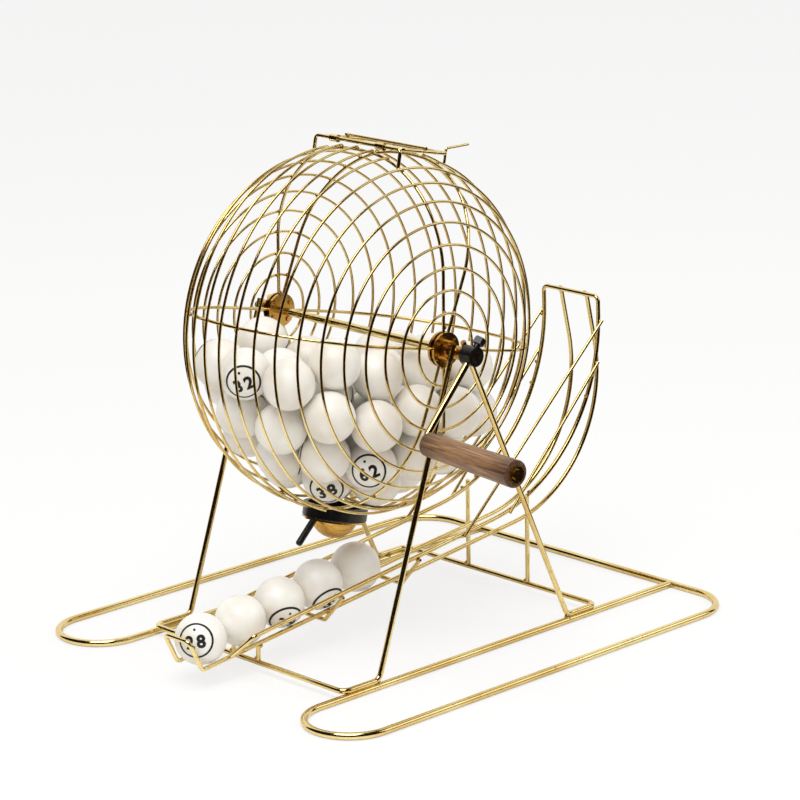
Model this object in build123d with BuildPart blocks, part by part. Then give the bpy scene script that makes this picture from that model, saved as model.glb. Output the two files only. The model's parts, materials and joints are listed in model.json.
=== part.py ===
from build123d import *
import os
from math import asin, atan, atan2, cos, degrees, hypot, pi, radians, sin, sqrt, tan

# Bingo cage: a turning wire cage on a wire frame, with a filling door, an outlet gate,
# a crank and a ball chute. Millimetres. +X is the back, -Y is the crank side, +Z is up.
# The origin is on the table under the middle of the cage.

os.makedirs("parts", exist_ok=True)

# Driving dimensions: fits
weld_bite = 0.05            # two brazed wires share this depth of metal
turning_clearance = 0.05    # radial gap where one piece turns on another
seat_clearance = 0.02       # radial gap where a piece is fixed on a rod
free_gap = 0.4              # between pieces that must never touch

# Driving dimensions: balls
ball_diameter = 22.2
ball_gap = 0.25             # between the balls in the chute
drawn_ball_count = 5
heap_ball_count = 56
heap_gap = 0.35             # least gap between balls in the heap
heap_wall_gap = 0.9
heap_tilt = 16.0            # degrees that the heap's surface rises towards the front
heap_top_gap = 0.4          # between the heap and the axle
heap_settle_steps = 420

# Driving dimensions: base and legs
base_wire_diameter = 3.2
inner_rail_y = 61.0
outer_rail_y = 100.0
back_rail_x = 133.0
skid_front_x = -103.0
rear_corner_radius = 22.0
leg_wire_diameter = 2.4
leg_corner_radius = 4.0
leg_end_past = 3.0          # how far a leg runs past the sleeve
front_crossbar_x = -70.0
front_foot_x = -49.6
rear_foot_x = 64.4
rear_crossbar_x = 83.0

# Driving dimensions: axle, bearings and hubs
axle_diameter = 3.6
sleeve_diameter = 5.8
sleeve_length = 7.0
axle_far_past = 1.5
hub_room = 4.5              # from a bearing in to the cage's flat end
hub_diameter = 15.0
hub_plate = 1.2
hub_boss_diameter = 8.5
hub_boss_end_gap = 0.4
rivet_circle_radius = 5.75
rivet_diameter = 1.2
rivet_head_diameter = 2.4
rivet_head = 0.7

# Driving dimensions: cage
cage_turn = 12.0            # degrees that the filling door stands off the top, at rest
ring_wire_diameter = 1.2
rib_wire_diameter = 1.4
shoulder_centre_y = 5.0
belly_radius = 100.0
cage_radius = 79.5
first_ring_run = 15.5       # along the profile from the axle line to the first ring
ring_pairs = 10
rib_offset_angle = 11.0     # ribs stand this far to each side of door and outlet
side_rib_angle = 90.0
rib_inner_radius = 2.6

# Driving dimensions: filling door
door_rise = 0.45            # from the ring line out to the middle of the door's wire
door_half_length = 24.2
door_free_edge = 15.0
door_wire_diameter = 1.6
door_corner_radius = 2.5
door_bar_diameter = 1.3
hinge_rod_diameter = 1.6
hinge_leg_y = 26.2
hinge_leg_past = 1.0        # how far a leg of the hinge rod runs in past its rib
hinge_corner_radius = 1.8
door_sleeve_wall = 0.8
door_sleeve_length = 4.4
door_sleeve_y = 14.2
latch_wire_diameter = 1.2
latch_y = 21.4
latch_drop = 4.4
latch_rise = 2.0
latch_tail = 13.0
latch_tail_rise = 2.6

# Driving dimensions: outlet and gate
collar_inset = 2.5          # from the ring line in to the collar's inner end
collar_length = 5.4
outlet_play = 2.2           # how much wider the outlet is than a ball
collar_wall = 1.9
gate_gap = 0.3
gate_sheet = 0.8
gate_rim_inset = 0.2        # the gate's rim lies this far inside the collar's
dish_land = 1.9             # flat rim of the gate under the collar's wall
dish_depth = 9.1
pivot_outset = 2.7          # from the outlet's bore out to the pivot's middle
outlet_ball_gap = 6.99      # from the balls in the chute up to the gate's dish
pivot_ear_radius = 3.0
pivot_lug = 2.4
pivot_pin_diameter = 1.8
pivot_head_diameter = 4.4
pivot_head = 0.8
spring_turns = 3
spring_wire_diameter = 0.5
spring_pitch = 0.56
lever_diameter = 3.0
lever_length = 13.5
lever_lean = 34.0           # degrees from straight out
lever_foot = 12.0
lever_rounding = 1.2

# Driving dimensions: crank
crank_boss_gap = 0.5        # from the near bearing out to the boss
crank_boss_diameter = 8.4
crank_boss_length = 6.4
set_screw_diameter = 3.0
set_screw_head_diameter = 5.2
set_screw_stem = 1.5
set_screw_head = 3.0
crank_throw = 42.5
crank_angle = 42.6          # degrees from straight down, towards the front
crank_wire_diameter = 3.0
crank_corner_radius = 3.4
pin_lean = 6.3              # degrees that the grip leans forward
grip_start = 4.2
grip_length = 56.0
grip_inner_diameter = 10.2
grip_outer_diameter = 11.6
grip_rounding = 1.6
grip_end_rounding = 0.4
grip_washer_diameter = 7.0
grip_washer = 0.9
grip_end_play = 0.3
pin_head_diameter = 4.6
pin_head = 0.9

# Driving dimensions: chute
rail_diameter = 2.0
floor_rail_y = 8.0
side_rail_y = 17.0
floor_slope = 0.115
floor_front_x = -101.3
floor_front_z = 9.12
side_slope = 0.13
side_front_x = -80.0
side_front_z = 20.5
top_bar_x = 132.3
top_bar_z = 129.0
floor_top_lean = 12.8       # degrees off upright at the top of the floor rails
side_top_lean = 1.2
floor_bend_radius = 62.0
side_bend_radius = 80.0
small_bend = 2.5
hoop_bend = 3.0
hoop_run = 6.4
hoop_height = 23.0
side_end_x = -86.6
side_end_angle = 37.0       # degrees above the floor rail where a side rail ends on it
rib_diameter = 1.8
chute_rib_places = (-30.0, 16.0)
chute_rib_dip = 4.4
chute_rib_bend = 2.0
riser_diameter = 2.0
post_diameter = 2.0
post_past = 1.5
brace_diameter = 1.4
short_brace_angles = (-14.8, -75.0)
long_brace_angle = -1.0
long_brace_run = 18.5
brace_past = 1.2

# Derived sizes shared by several pieces
ball_radius = ball_diameter / 2
ball_pitch = ball_diameter + ball_gap
heap_spacing = ball_diameter + heap_gap
end_plane_y = inner_rail_y - sleeve_length / 2 - hub_room
shoulder_radius = end_plane_y - shoulder_centre_y
door_height = cage_radius + door_rise
collar_inner_run = cage_radius - collar_inset
collar_outer_run = collar_inner_run + collar_length
collar_bore = ball_diameter + outlet_play
collar_radius = collar_bore / 2 + collar_wall
gate_diameter = 2 * (collar_radius - gate_rim_inset)
dish_diameter = collar_bore - 2 * dish_land
pivot_y = collar_bore / 2 + pivot_outset
gate_run = collar_outer_run + gate_gap
crank_y = inner_rail_y + (sleeve_length + crank_boss_length) / 2 + crank_boss_gap
base_z = base_wire_diameter / 2
leg_z = base_wire_diameter + leg_wire_diameter / 2 - weld_bite
axle_radius = axle_diameter / 2
ring_over_rib = (ring_wire_diameter + rib_wire_diameter) / 2 - weld_bite


def floor_height(x):
    # middle of the chute's floor rails on their straight run
    return floor_front_z + floor_slope * (x - floor_front_x)


# the balls lie across the two floor rails, and the legs hold the outlet clear above them
slope_angle = atan(floor_slope)
touch_height = sqrt((ball_radius + rail_diameter / 2) ** 2 - floor_rail_y**2)
ball_lift = (touch_height + free_gap) / cos(slope_angle)
dish_run = gate_run + dish_depth
outlet_x = -dish_run * sin(radians(cage_turn))
ball_top = floor_height(outlet_x) + ball_lift + ball_radius
axle_height = ball_top + outlet_ball_gap + dish_run * cos(radians(cage_turn))
axle_line = Axis((0, 0, axle_height), (0, 1, 0))


def finish(piece, label):
    # name the finished piece and write it
    piece.part.label = label
    export_step(piece.part, f"parts/{label}.step")


def bent_wire(label, corners, radii, diameter):
    # round wire along straight runs joined by bends
    with BuildPart() as wire:
        with BuildLine() as path:
            FilletPolyline(*corners, radius=radii)
        with BuildSketch(Plane(origin=path.line @ 0, z_dir=path.line % 0)):
            Circle(diameter / 2)
        sweep()
    finish(wire, label)


def straight_wire(label, start, end, diameter):
    # round rod from one point to another
    direction = Vector(*end) - Vector(*start)
    with BuildPart() as rod:
        with BuildSketch(Plane(origin=start, z_dir=direction)):
            Circle(diameter / 2)
        extrude(amount=direction.length)
    finish(rod, label)


def tangent_run(start, centre, reach, side, past):
    # end of a straight run from start that touches a circle about centre, and runs past it
    run_x = centre[0] - start[0]
    run_z = centre[1] - start[1]
    distance = hypot(run_x, run_z)
    heading = atan2(run_z, run_x) + side * asin(reach / distance)
    length = sqrt(distance**2 - reach**2) + past
    return (start[0] + length * cos(heading), start[1] + length * sin(heading))


# ---------------------------------------------------------------- base and legs
skid_radius = (outer_rail_y - inner_rail_y) / 2
skid_centre_x = skid_front_x + skid_radius
corner_end_x = back_rail_x - rear_corner_radius
with BuildPart() as base_wire:
    with BuildLine() as base_path:
        near_skid = TangentArc(
            (skid_centre_x, -inner_rail_y, base_z),
            (skid_centre_x, -outer_rail_y, base_z),
            tangent=(-1, 0, 0),
        )
        near_rail = Line(near_skid @ 1, (corner_end_x, -outer_rail_y, base_z))
        near_corner = TangentArc(
            near_rail @ 1,
            (back_rail_x, rear_corner_radius - outer_rail_y, base_z),
            tangent=near_rail % 1,
        )
        back_rail = Line(near_corner @ 1, (back_rail_x, outer_rail_y - rear_corner_radius, base_z))
        far_corner = TangentArc(
            back_rail @ 1,
            (corner_end_x, outer_rail_y, base_z),
            tangent=back_rail % 1,
        )
        far_rail = Line(far_corner @ 1, (skid_centre_x, outer_rail_y, base_z))
        TangentArc(far_rail @ 1, (skid_centre_x, inner_rail_y, base_z), tangent=far_rail % 1)
    with BuildSketch(Plane(origin=base_path.line @ 0, z_dir=base_path.line % 0)):
        Circle(base_wire_diameter / 2)
    sweep()
    with BuildSketch(Plane(origin=(skid_centre_x, 0, base_z), x_dir=(0, 1, 0), z_dir=(1, 0, 0))):
        with Locations((-inner_rail_y, 0), (inner_rail_y, 0)):
            Circle(base_wire_diameter / 2)
    extrude(amount=back_rail_x - skid_centre_x)
finish(base_wire, "base_wire")

leg_reach = (sleeve_diameter + leg_wire_diameter) / 2 - weld_bite
for label, foot_x, crossbar_x, side in (
    ("front_leg_wire", front_foot_x, front_crossbar_x, 1),
    ("rear_leg_wire", rear_foot_x, rear_crossbar_x, -1),
):
    leg_top = tangent_run((foot_x, leg_z), (0, axle_height), leg_reach, side, leg_end_past)
    near_points = (
        (leg_top[0], -inner_rail_y, leg_top[1]),
        (foot_x, -inner_rail_y, leg_z),
        (crossbar_x, -inner_rail_y, leg_z),
    )
    far_points = tuple((x, -y, z) for x, y, z in reversed(near_points))
    bent_wire(label, near_points + far_points, leg_corner_radius, leg_wire_diameter)

for label, middle_y in (("near_axle_bearing", -inner_rail_y), ("far_axle_bearing", inner_rail_y)):
    with BuildPart() as bearing:
        with BuildSketch(Plane(origin=(0, middle_y - sleeve_length / 2, axle_height), z_dir=(0, 1, 0))):
            Circle(sleeve_diameter / 2)
            Circle(axle_radius + turning_clearance, mode=Mode.SUBTRACT)
        extrude(amount=sleeve_length)
    finish(bearing, label)


# ---------------------------------------------------------------- ball chute
def side_height(x):
    # middle of the side rails on their straight run
    return side_front_z + side_slope * (x - side_front_x)


def bend_corner(front_x, front_z, slope, top_x, top_z, lean):
    # where the straight low run would meet the straight top run
    back = tan(radians(lean))
    x = (top_x + back * (top_z - front_z + slope * front_x)) / (1 + back * slope)
    return (x, front_z + slope * (x - front_x))


floor_top_x = top_bar_x + rail_diameter - weld_bite
floor_corner = bend_corner(
    floor_front_x, floor_front_z, floor_slope, floor_top_x, top_bar_z, floor_top_lean
)
side_corner = bend_corner(side_front_x, side_front_z, side_slope, top_bar_x, top_bar_z, side_top_lean)

near_floor = (
    (floor_top_x, -floor_rail_y, top_bar_z),
    (floor_corner[0], -floor_rail_y, floor_corner[1]),
    (floor_front_x, -floor_rail_y, floor_front_z),
    (floor_front_x - hoop_run, -floor_rail_y, hoop_height),
)
far_floor = tuple((x, -y, z) for x, y, z in reversed(near_floor))
floor_bends = (floor_bend_radius, small_bend, hoop_bend)
bent_wire("floor_rail_wire", near_floor + far_floor, floor_bends + floor_bends[::-1], rail_diameter)

end_side_y = floor_rail_y + rail_diameter * cos(radians(side_end_angle)) - weld_bite
end_side_z = floor_height(side_end_x) + rail_diameter * sin(radians(side_end_angle))
near_side = (
    (side_end_x, -end_side_y, end_side_z),
    (side_front_x, -side_rail_y, side_front_z),
    (side_corner[0], -side_rail_y, side_corner[1]),
    (top_bar_x, -side_rail_y, top_bar_z),
)
far_side = tuple((x, -y, z) for x, y, z in reversed(near_side))
side_bends = (small_bend, side_bend_radius, small_bend)
bent_wire("side_rail_wire", near_side + far_side, side_bends + side_bends[::-1], rail_diameter)

# the chute ribs run along the outside of both rails and dip below the balls
rib_reach = (rail_diameter + rib_diameter) / 2 - weld_bite
for label, rib_x in zip(("front_chute_rib", "rear_chute_rib"), chute_rib_places):
    rise = side_height(rib_x) - floor_height(rib_x)
    spread = side_rail_y - floor_rail_y
    length = hypot(rise, spread)
    out_y = rib_reach * rise / length
    out_z = -rib_reach * spread / length
    bottom_z = floor_height(rib_x) - chute_rib_dip
    bottom_y = floor_rail_y + out_y - (floor_height(rib_x) + out_z - bottom_z) * spread / rise
    arm_top = (rib_x, side_rail_y + out_y, side_height(rib_x) + out_z)
    bent_wire(
        label,
        (
            (rib_x, -arm_top[1], arm_top[2]),
            (rib_x, -bottom_y, bottom_z),
            (rib_x, bottom_y, bottom_z),
            arm_top,
        ),
        chute_rib_bend,
        rib_diameter,
    )

crossbar_top = leg_z + leg_wire_diameter / 2 - weld_bite
riser_top = floor_height(front_crossbar_x) - rail_diameter / 2 + weld_bite
for label, riser_y in (("near_front_riser", -floor_rail_y), ("far_front_riser", floor_rail_y)):
    straight_wire(
        label,
        (front_crossbar_x, riser_y, crossbar_top),
        (front_crossbar_x, riser_y, riser_top),
        riser_diameter,
    )


def bend_centre(corner_point, slope, lean, radius):
    # middle of the round stretch between the low run and the top run
    low = atan(slope)
    turn = pi / 2 + radians(lean) - low
    back = radius * tan(turn / 2)
    start = (corner_point[0] - back * cos(low), corner_point[1] - back * sin(low))
    return start, (start[0] - radius * sin(low), start[1] + radius * cos(low))


side_bend_start, side_bend_middle = bend_centre(
    side_corner, side_slope, side_top_lean, side_bend_radius
)


def side_bend_point(angle):
    # point on the round stretch of the side rails
    turn = radians(angle)
    return (
        side_bend_middle[0] + side_bend_radius * cos(turn),
        side_bend_middle[1] + side_bend_radius * sin(turn),
    )


post_offset = side_bend_middle[0] - rear_crossbar_x
post_top = side_bend_middle[1] - sqrt(side_bend_radius**2 - post_offset**2) + post_past
post_y = side_rail_y + (rail_diameter + post_diameter) / 2 - weld_bite
for label, side in (("near_rear_post", -1), ("far_rear_post", 1)):
    straight_wire(
        label,
        (rear_crossbar_x, side * post_y, crossbar_top),
        (rear_crossbar_x, side * post_y, post_top),
        post_diameter,
    )

brace_y = side_rail_y + (rail_diameter + brace_diameter) / 2 - weld_bite
long_low_end = (side_bend_start[0] - long_brace_run, side_height(side_bend_start[0] - long_brace_run))
brace_ends = {
    "short_brace": tuple(side_bend_point(angle) for angle in short_brace_angles),
    "long_brace": (side_bend_point(long_brace_angle), long_low_end),
}
for name, (high, low) in brace_ends.items():
    length = hypot(high[0] - low[0], high[1] - low[1])
    step_x = (high[0] - low[0]) / length * brace_past
    step_z = (high[1] - low[1]) / length * brace_past
    for prefix, side in (("near", -1), ("far", 1)):
        straight_wire(
            f"{prefix}_{name}",
            (low[0] - step_x, side * brace_y, low[1] - step_z),
            (high[0] + step_x, side * brace_y, high[1] + step_z),
            brace_diameter,
        )


# ---------------------------------------------------------------- cage profile
# A flat end, a shoulder arc and a long belly arc, mirrored about the middle.
belly_centre_r = cage_radius - belly_radius
shoulder_centre_r = belly_centre_r + sqrt((belly_radius - shoulder_radius) ** 2 - shoulder_centre_y**2)
belly_turn = asin(shoulder_centre_y / (belly_radius - shoulder_radius))
shoulder_turn = pi / 2 - belly_turn
half_profile = shoulder_centre_r + shoulder_radius * shoulder_turn + belly_radius * belly_turn
ring_run = (half_profile - first_ring_run) / ring_pairs


def profile_point(run):
    # radius from the axle line and distance from the middle, for a length along the profile
    if run <= shoulder_centre_r:
        return (run, end_plane_y)
    turn = (run - shoulder_centre_r) / shoulder_radius
    if turn <= shoulder_turn:
        return (
            shoulder_centre_r + shoulder_radius * sin(turn),
            shoulder_centre_y + shoulder_radius * cos(turn),
        )
    turn = (half_profile - run) / belly_radius
    return (belly_centre_r + belly_radius * cos(turn), belly_radius * sin(turn))


def depth_inside(radius, side):
    # depth under the ring line, and the way out in the plane of the profile
    from_shoulder = (radius - shoulder_centre_r, side - shoulder_centre_y)
    if from_shoulder[0] <= 0:
        return end_plane_y - side, (0.0, 1.0)
    angle = atan2(from_shoulder[1], from_shoulder[0])
    if angle >= belly_turn:
        length = hypot(*from_shoulder)
        return shoulder_radius - length, (from_shoulder[0] / length, from_shoulder[1] / length)
    length = hypot(radius - belly_centre_r, side)
    return belly_radius - length, ((radius - belly_centre_r) / length, side / length)


def cage_plane(angle):
    # half plane through the axle line: local X points away from it, local Y is +Y
    turn = radians(cage_turn + angle)
    return Plane(
        origin=(0, 0, axle_height),
        x_dir=(sin(turn), 0, cos(turn)),
        z_dir=(-cos(turn), 0, sin(turn)),
    )


def outward_plane(angle, run):
    # plane facing away from the axle line: local X is along the turning, local Y is +Y
    turn = radians(cage_turn + angle)
    return Plane(
        origin=(run * sin(turn), 0, axle_height + run * cos(turn)),
        x_dir=(cos(turn), 0, -sin(turn)),
        z_dir=(sin(turn), 0, cos(turn)),
    )


def cage_place(angle, along, side, run):
    # point given by its way along the turning, its Y and its run out from the axle line
    turn = radians(cage_turn + angle)
    return (
        run * sin(turn) + along * cos(turn),
        side,
        axle_height + run * cos(turn) - along * sin(turn),
    )


# ---------------------------------------------------------------- rings and ribs
outlet_angle = 180.0


def ring_arcs(side):
    # start and length, in degrees, of the arcs of one ring, cut at the door and the outlet
    cut_at_door = side < door_half_length
    cut_at_outlet = side < collar_radius
    if cut_at_door and cut_at_outlet:
        half = outlet_angle - 2 * rib_offset_angle
        return ((rib_offset_angle, half), (outlet_angle + rib_offset_angle, half))
    if cut_at_door:
        return ((rib_offset_angle, 360 - 2 * rib_offset_angle),)
    return ((0, 360),)


for pair in range(ring_pairs + 1):
    ring_radius, ring_side = profile_point(half_profile - pair * ring_run)
    places = (0,) if pair == 0 else (-ring_side, ring_side)
    with BuildPart() as ring:
        for place in places:
            for start, sweep_angle in ring_arcs(ring_side):
                with BuildSketch(cage_plane(start)):
                    with Locations((ring_radius, place)):
                        Circle(ring_wire_diameter / 2)
                revolve(axis=axle_line, revolution_arc=sweep_angle)
    finish(ring, "belly_ring" if pair == 0 else f"ring_pair_{pair}")

rib_end_y = end_plane_y - ring_over_rib
rib_angles = {
    "door_rib_front": -rib_offset_angle,
    "door_rib_rear": rib_offset_angle,
    "side_rib_rear": side_rib_angle,
    "outlet_rib_rear": outlet_angle - rib_offset_angle,
    "outlet_rib_front": outlet_angle + rib_offset_angle,
    "side_rib_front": outlet_angle + side_rib_angle,
}
for label, angle in rib_angles.items():
    with BuildPart() as rib:
        with BuildLine(cage_plane(angle)) as rib_path:
            Line((rib_inner_radius, -rib_end_y), (shoulder_centre_r, -rib_end_y))
            CenterArc(
                (shoulder_centre_r, -shoulder_centre_y),
                shoulder_radius - ring_over_rib,
                -90,
                degrees(shoulder_turn),
            )
            CenterArc(
                (belly_centre_r, 0),
                belly_radius - ring_over_rib,
                -degrees(belly_turn),
                2 * degrees(belly_turn),
            )
            CenterArc(
                (shoulder_centre_r, shoulder_centre_y),
                shoulder_radius - ring_over_rib,
                degrees(belly_turn),
                degrees(shoulder_turn),
            )
            Line((shoulder_centre_r, rib_end_y), (rib_inner_radius, rib_end_y))
        with BuildSketch(Plane(origin=rib_path.line @ 0, z_dir=rib_path.line % 0)):
            Circle(rib_wire_diameter / 2)
        sweep()
    finish(rib, label)


# ---------------------------------------------------------------- axle, hubs and rivets
plate_face_y = rib_end_y + rib_wire_diameter / 2
hub_end_y = inner_rail_y - sleeve_length / 2 - hub_boss_end_gap
crank_outer_y = crank_y + crank_boss_length / 2
axle_far_end_y = inner_rail_y + sleeve_length / 2 + axle_far_past
hub_bore = axle_radius + seat_clearance

with BuildPart() as axle:
    with BuildSketch(Plane(origin=(0, axle_far_end_y, axle_height), z_dir=(0, -1, 0))):
        Circle(axle_radius)
    extrude(amount=axle_far_end_y + crank_outer_y)
finish(axle, "axle")


def rivet_places():
    # the rivets stand between the ribs: X and height from the axle line
    first = (rib_offset_angle + side_rib_angle) / 2
    places = []
    for angle in (first, outlet_angle - first, outlet_angle + first, 360 - first):
        turn = radians(cage_turn + angle)
        places.append((rivet_circle_radius * sin(turn), rivet_circle_radius * cos(turn)))
    return places


def hub_plane(y, facing):
    # plane across the axle line that faces outwards (+1) or inwards (-1) along Y
    return Plane(origin=(0, y, axle_height), x_dir=(1, 0, 0), z_dir=(0, facing, 0))


inner_face_y = rib_end_y - rib_wire_diameter / 2
for prefix, side in (("near", -1), ("far", 1)):
    outer_plate_plane = hub_plane(side * plate_face_y, side)
    with BuildPart() as hub:
        with BuildSketch(outer_plate_plane):
            Circle(hub_diameter / 2)
        extrude(amount=hub_plate)
        with BuildSketch(outer_plate_plane):
            Circle(hub_boss_diameter / 2)
        extrude(amount=hub_end_y - plate_face_y)
        with BuildSketch(outer_plate_plane):
            Circle(hub_bore)
            for across, up in rivet_places():
                with Locations((across, -side * up)):
                    Circle(rivet_diameter / 2 + seat_clearance)
        extrude(amount=hub_end_y - plate_face_y, mode=Mode.SUBTRACT)
    finish(hub, f"{prefix}_hub")

    inner_plate_plane = hub_plane(side * inner_face_y, -side)
    with BuildPart() as clamp_disc:
        with BuildSketch(inner_plate_plane):
            Circle(hub_diameter / 2)
            Circle(hub_bore, mode=Mode.SUBTRACT)
            for across, up in rivet_places():
                with Locations((across, side * up)):
                    Circle(rivet_diameter / 2 + seat_clearance, mode=Mode.SUBTRACT)
        extrude(amount=hub_plate)
    finish(clamp_disc, f"{prefix}_clamp_disc")

with BuildPart() as rivets:
    for side in (-1, 1):
        for x, up in rivet_places():
            z = axle_height + up
            inner_y = inner_face_y - hub_plate
            outer_y = plate_face_y + hub_plate
            with BuildSketch(Plane(origin=(x, side * inner_y, z), z_dir=(0, side, 0))):
                Circle(rivet_diameter / 2)
            extrude(amount=outer_y - inner_y)
            with BuildSketch(Plane(origin=(x, side * outer_y, z), z_dir=(0, side, 0))):
                Circle(rivet_head_diameter / 2)
            extrude(amount=rivet_head)
            with BuildSketch(Plane(origin=(x, side * inner_y, z), z_dir=(0, -side, 0))):
                Circle(rivet_head_diameter / 2)
            extrude(amount=rivet_head)
finish(rivets, "hub_rivets")


# ---------------------------------------------------------------- filling door
rib_at_leg = shoulder_centre_r + sqrt(
    (shoulder_radius - ring_over_rib) ** 2 - (hinge_leg_y - shoulder_centre_y) ** 2
)
side_by_side = (rib_wire_diameter + hinge_rod_diameter) / 2 - weld_bite
hinge_along = -(rib_at_leg * sin(radians(rib_offset_angle)) + side_by_side)
hinge_leg_end = rib_at_leg * cos(radians(rib_offset_angle)) - hinge_leg_past
bent_wire(
    "door_hinge_rod",
    (
        cage_place(0, hinge_along, -hinge_leg_y, hinge_leg_end),
        cage_place(0, hinge_along, -hinge_leg_y, door_height),
        cage_place(0, hinge_along, hinge_leg_y, door_height),
        cage_place(0, hinge_along, hinge_leg_y, hinge_leg_end),
    ),
    hinge_corner_radius,
    hinge_rod_diameter,
)

door_sleeve_bore = hinge_rod_diameter / 2 + turning_clearance
door_sleeve_radius = door_sleeve_bore + door_sleeve_wall
with BuildPart() as door_sleeves:
    for side in (-1, 1):
        start_y = side * door_sleeve_y - door_sleeve_length / 2
        start = cage_place(0, hinge_along, start_y, door_height)
        with BuildSketch(Plane(origin=start, z_dir=(0, 1, 0))):
            Circle(door_sleeve_radius)
            Circle(door_sleeve_bore, mode=Mode.SUBTRACT)
        extrude(amount=door_sleeve_length)
finish(door_sleeves, "door_sleeves")

hinge_edge = hinge_along + door_sleeve_radius + door_wire_diameter / 2 - weld_bite
with BuildPart() as door_frame:
    with BuildLine(outward_plane(0, door_height)) as frame_path:
        FilletPolyline(
            (hinge_edge, door_half_length),
            (door_free_edge, door_half_length),
            (door_free_edge, -door_half_length),
            (hinge_edge, -door_half_length),
            radius=door_corner_radius,
            close=True,
        )
    with BuildSketch(Plane(origin=frame_path.line @ 0, z_dir=frame_path.line % 0)):
        Circle(door_wire_diameter / 2)
    sweep()
finish(door_frame, "door_frame")

bar_drop = (door_wire_diameter + door_bar_diameter) / 2 - weld_bite
bar_along = (hinge_edge + door_free_edge) / 2
straight_wire(
    "door_bar",
    cage_place(0, bar_along, -door_half_length - door_wire_diameter / 2, door_height + bar_drop),
    cage_place(0, bar_along, door_half_length + door_wire_diameter / 2, door_height + bar_drop),
    door_bar_diameter,
)

latch_along = door_free_edge + (door_wire_diameter + latch_wire_diameter) / 2 - weld_bite
bent_wire(
    "door_latch",
    (
        cage_place(0, latch_along, -latch_y, door_height - latch_drop),
        cage_place(0, latch_along, -latch_y, door_height + latch_rise),
        cage_place(0, latch_along + latch_tail, -latch_y, door_height + latch_rise + latch_tail_rise),
    ),
    latch_wire_diameter,
    latch_wire_diameter,
)


# ---------------------------------------------------------------- outlet and gate
with BuildPart() as outlet_collar:
    with BuildSketch(outward_plane(outlet_angle, collar_inner_run)):
        Circle(collar_radius)
    extrude(amount=collar_outer_run - collar_inner_run)
    with BuildSketch(outward_plane(outlet_angle, collar_outer_run - pivot_lug)):
        with Locations((0, pivot_y)):
            Circle(pivot_ear_radius)
    extrude(amount=pivot_lug)
    with BuildSketch(outward_plane(outlet_angle, collar_inner_run)):
        Circle(collar_bore / 2)
        with Locations((0, pivot_y)):
            Circle(pivot_pin_diameter / 2 + seat_clearance)
    extrude(amount=collar_outer_run - collar_inner_run, mode=Mode.SUBTRACT)
finish(outlet_collar, "outlet_collar")

spring_start = gate_run + gate_sheet + spring_pitch
pin_head_run = spring_start + spring_turns * spring_pitch
with BuildPart() as gate_pin:
    with BuildSketch(outward_plane(outlet_angle, collar_outer_run - pivot_lug)):
        with Locations((0, pivot_y)):
            Circle(pivot_pin_diameter / 2)
    extrude(amount=pin_head_run - collar_outer_run + pivot_lug)
    with BuildSketch(outward_plane(outlet_angle, pin_head_run)):
        with Locations((0, pivot_y)):
            Circle(pivot_head_diameter / 2)
    extrude(amount=pivot_head)
finish(gate_pin, "gate_pin")

# the small return spring, as closed turns about the pin
spring_radius = (pivot_pin_diameter + spring_wire_diameter) / 2 + free_gap
pivot_axis = Axis(
    cage_place(outlet_angle, 0, pivot_y, gate_run),
    outward_plane(outlet_angle, gate_run).z_dir,
)
with BuildPart() as gate_spring:
    for turn_number in range(spring_turns):
        with BuildSketch(cage_plane(outlet_angle)):
            with Locations((spring_start + turn_number * spring_pitch, pivot_y + spring_radius)):
                Circle(spring_wire_diameter / 2)
        revolve(axis=pivot_axis)
finish(gate_spring, "gate_spring")

outlet_axis = Axis((0, 0, axle_height), outward_plane(outlet_angle, gate_run).z_dir)
dish_radius = dish_diameter / 2
with BuildPart() as gate_cap:
    with BuildSketch(cage_plane(outlet_angle)):
        with BuildLine():
            inner_dish = TangentArc(
                (dish_run - gate_sheet, 0),
                (gate_run, dish_radius - gate_sheet),
                tangent=(0, 1),
            )
            Line(inner_dish @ 1, (gate_run, gate_diameter / 2))
            Line((gate_run, gate_diameter / 2), (gate_run + gate_sheet, gate_diameter / 2))
            Line((gate_run + gate_sheet, gate_diameter / 2), (gate_run + gate_sheet, dish_radius))
            TangentArc(
                (dish_run, 0),
                (gate_run + gate_sheet, dish_radius),
                tangent=(0, 1),
            )
            Line((dish_run, 0), (dish_run - gate_sheet, 0))
        make_face()
    revolve(axis=outlet_axis)
    with BuildSketch(outward_plane(outlet_angle, gate_run)):
        with Locations((0, pivot_y)):
            Circle(pivot_ear_radius)
    extrude(amount=gate_sheet)
    with BuildSketch(outward_plane(outlet_angle, gate_run)):
        with Locations((0, pivot_y)):
            Circle(pivot_pin_diameter / 2 + turning_clearance)
    extrude(amount=gate_sheet, mode=Mode.SUBTRACT)
finish(gate_cap, "gate_cap")

rim_run = gate_run + gate_sheet
lean = radians(lever_lean)
lever_along = Vector(*cage_place(outlet_angle, sin(lean), 0, cos(lean))) - Vector(0, 0, axle_height)
foot_sink = lever_diameter
with BuildPart() as gate_lever:
    foot = Vector(*cage_place(outlet_angle, lever_foot, 0, rim_run)) - lever_along * foot_sink
    with BuildSketch(Plane(origin=foot, z_dir=lever_along)):
        Circle(lever_diameter / 2)
    extrude(amount=lever_length + foot_sink)
    split(bisect_by=outward_plane(outlet_angle, rim_run), keep=Keep.TOP)
    fillet(gate_lever.edges().sort_by(Axis(foot, lever_along))[-1], lever_rounding)
finish(gate_lever, "gate_lever")


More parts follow.
